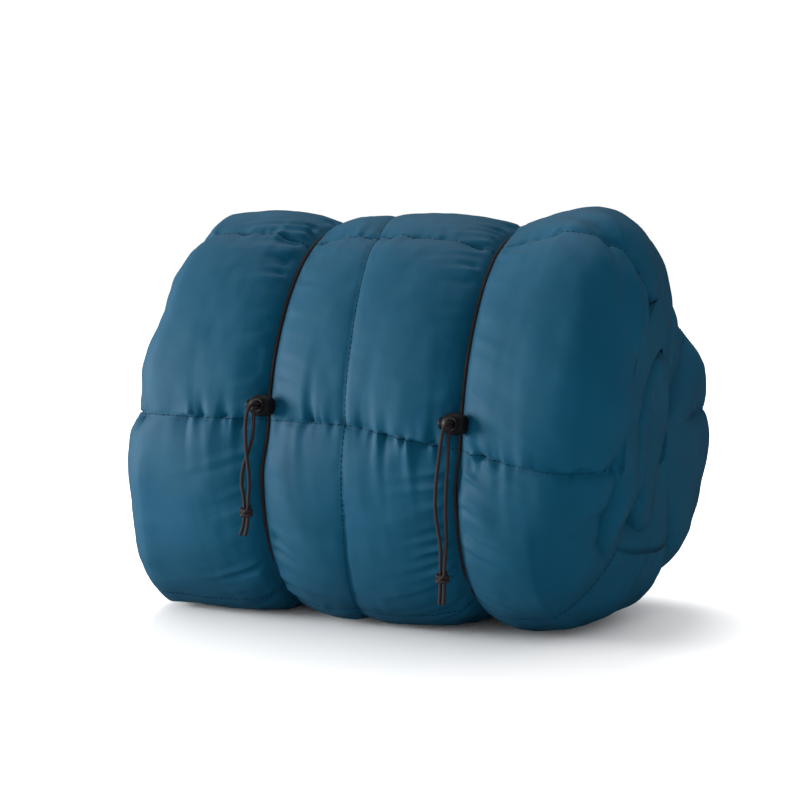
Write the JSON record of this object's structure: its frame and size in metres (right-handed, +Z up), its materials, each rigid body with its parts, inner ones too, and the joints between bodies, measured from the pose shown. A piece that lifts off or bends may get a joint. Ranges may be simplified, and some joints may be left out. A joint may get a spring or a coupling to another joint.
{
  "type": "rolled camp blanket",
  "caption": "Quilted camp blanket, folded and rolled, cinched by elastic cords with push-button cord locks and knotted tails.",
  "frame": {"origin": "on the floor, under the middle of the roll's length and depth", "axes": "+X along the roll, towards the end whose folded edges show; -Y is the side of the cord locks; +Z up"},
  "size_m": [0.414, 0.3586, 0.337],
  "materials": {
    "face_taffeta": "soft satin synthetic taffeta, teal blue",
    "lining_taffeta": "plain synthetic taffeta, teal blue",
    "polyester_fill": "white polyester fibrefill",
    "hem_ribbon": "black grosgrain ribbon",
    "shock_cord": "braided sheath over an elastic core",
    "lock_plastic": "moulded black, slightly glossy",
    "spring_steel": "bright spring wire"
  },
  "bodies": {
    "blanket": {"face_fabric": "face_taffeta", "lining_fabric": "lining_taffeta", "batting": "polyester_fill", "left_cord_keeper": "hem_ribbon", "right_cord_keeper": "hem_ribbon", "left_cord": "shock_cord", "right_cord": "shock_cord"},
    "left_lock": {"left_lock_barrel": "lock_plastic", "left_lock_spring": "spring_steel", "left_tail_a": "shock_cord", "left_tail_b": "shock_cord", "left_knot": "shock_cord"},
    "left_button": {"left_lock_plunger": "lock_plastic"},
    "right_lock": {"right_lock_barrel": "lock_plastic", "right_lock_spring": "spring_steel", "right_tail_a": "shock_cord", "right_tail_b": "shock_cord", "right_knot": "shock_cord"},
    "right_button": {"right_lock_plunger": "lock_plastic"}
  },
  "joints": [
    {"name": "left_lock_slide", "type": "slide", "parent": "blanket", "child": "left_lock", "axis": [0, -0.9877, 0.1564], "range_m": [0, 0.012]},
    {"name": "left_button_press", "type": "slide", "parent": "left_lock", "child": "left_button", "axis": [1, 0, 0], "range_m": [0, 0.0028], "stiffness_N_per_m": 600, "springref_m": -0.002, "deforming": ["left_lock_spring"]},
    {"name": "right_lock_slide", "type": "slide", "parent": "blanket", "child": "right_lock", "axis": [0, -0.9925, 0.1219], "range_m": [0, 0.012]},
    {"name": "right_button_press", "type": "slide", "parent": "right_lock", "child": "right_button", "axis": [1, 0, 0], "range_m": [0, 0.0028], "stiffness_N_per_m": 600, "springref_m": -0.002, "deforming": ["right_lock_spring"]}
  ]
}
